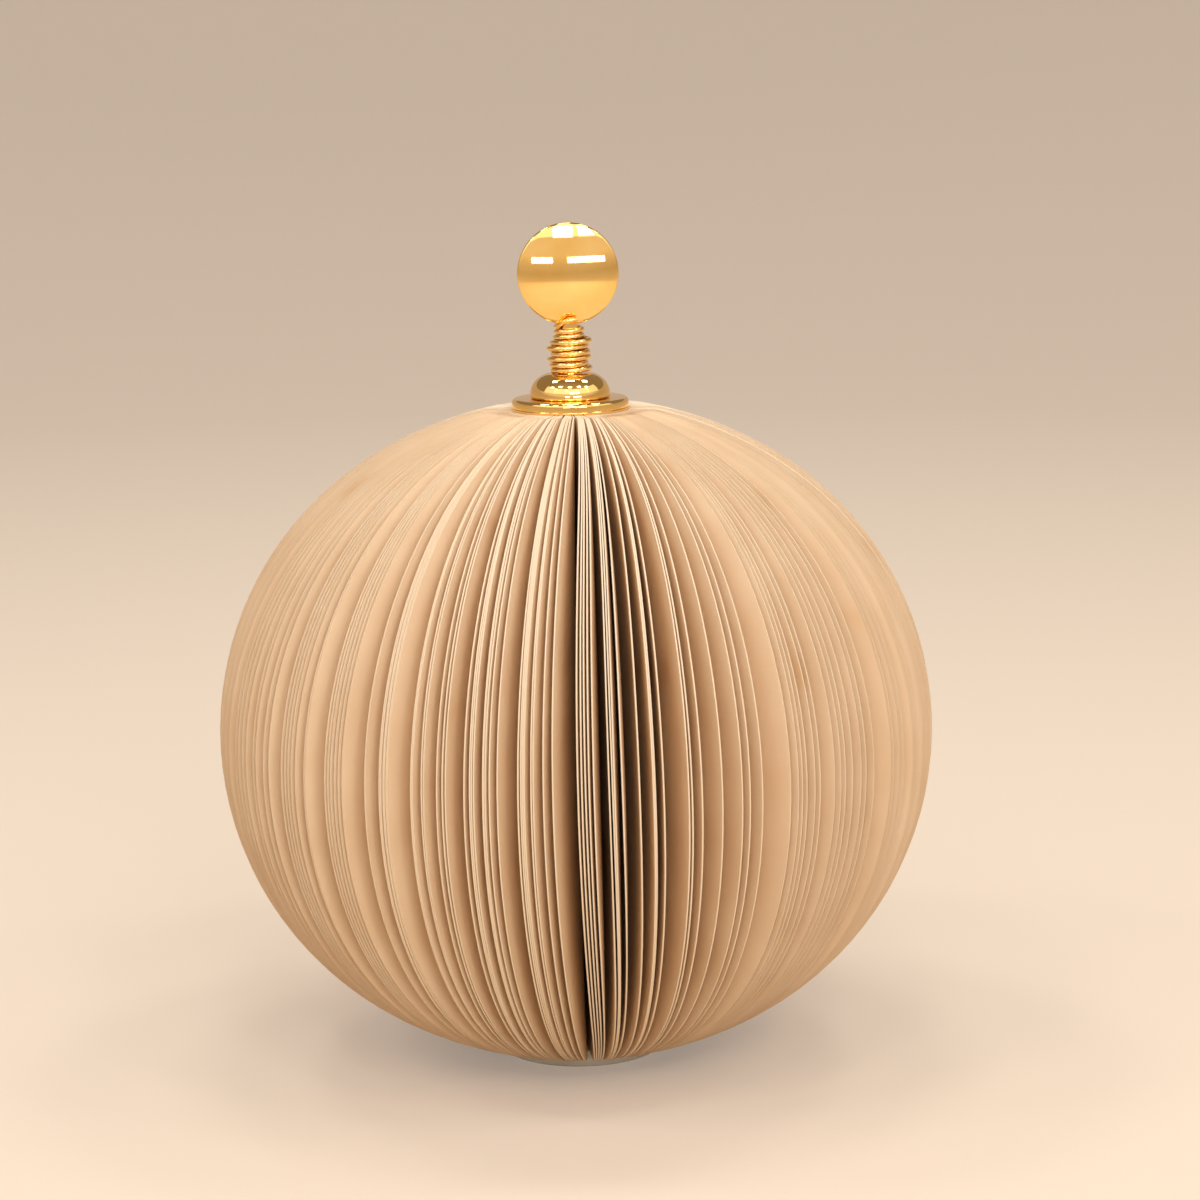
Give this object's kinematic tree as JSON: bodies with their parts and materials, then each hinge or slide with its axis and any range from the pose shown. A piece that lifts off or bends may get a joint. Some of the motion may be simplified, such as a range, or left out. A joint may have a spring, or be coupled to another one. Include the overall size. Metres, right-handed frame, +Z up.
{
  "type": "paper ball decoration",
  "caption": "Round table decoration of half-oval card leaves fanned about a hollow core, on a frosted foot, with a brass finial: wire-wound stem and standing disc",
  "frame": {"origin": "Middle of the foot's flat underside, where the axis of the ball meets the table", "axes": "+Z up along the axis of the ball; -Y the front, where the widest gap between leaves faces; +X to the right seen from the front"},
  "size_m": [0.21, 0.21, 0.2461],
  "materials": {
    "card_leaves": "uncoated cream card with a fine tooth",
    "core_card": "wound grey-brown board",
    "steel_rod": "turned steel",
    "frosted_foot": "frosted all over",
    "polished_brass": "polished and gold coloured",
    "brass_wire": "bright drawn wire"
  },
  "bodies": {
    "root": {"paper_leaves": "card_leaves", "core_tube": "core_card", "tie_rod": "steel_rod", "foot_disc": "frosted_foot", "flange_plate": "polished_brass", "dome_collar": "polished_brass", "stem_post": "polished_brass", "wire_coil": "brass_wire", "finial_disc": "polished_brass"}
  },
  "joints": []
}
